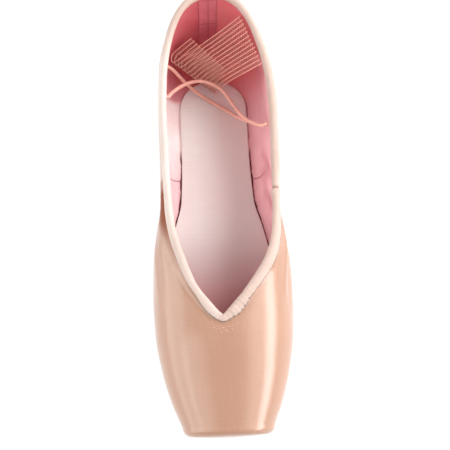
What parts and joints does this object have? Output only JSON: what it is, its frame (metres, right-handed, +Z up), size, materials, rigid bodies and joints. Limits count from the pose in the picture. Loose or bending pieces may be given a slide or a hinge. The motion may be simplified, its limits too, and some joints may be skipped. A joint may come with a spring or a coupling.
{
  "type": "pointe shoe",
  "caption": "Satin ballet pointe shoe with a stiff blocked toe, a flat platform, a thin leather sole, a bound collar with a drawstring loop and a mesh heel elastic.",
  "frame": {"origin": "bottom centre of the shoe's box, on the floor it stands on, between the two sides and half way from heel to platform", "axes": "+Z up, +Y from the platform towards the heel, +X to the right when seen from above with the toe towards the viewer's near side"},
  "size_m": [0.0734, 0.2395, 0.0661],
  "materials": {
    "sole_leather": "split suede, buffed",
    "satin": "glossy woven satin",
    "insole_cloth": "smooth coated cotton",
    "binding_tape": "matt cotton tape",
    "elastic_cord": "braided elastic",
    "elastic_net": "open elastic net"
  },
  "bodies": {
    "root": {"outsole": "sole_leather", "upper": "satin", "insole": "insole_cloth", "binding": "binding_tape", "drawstring": "elastic_cord", "heel_elastic": "elastic_net"}
  },
  "joints": []
}
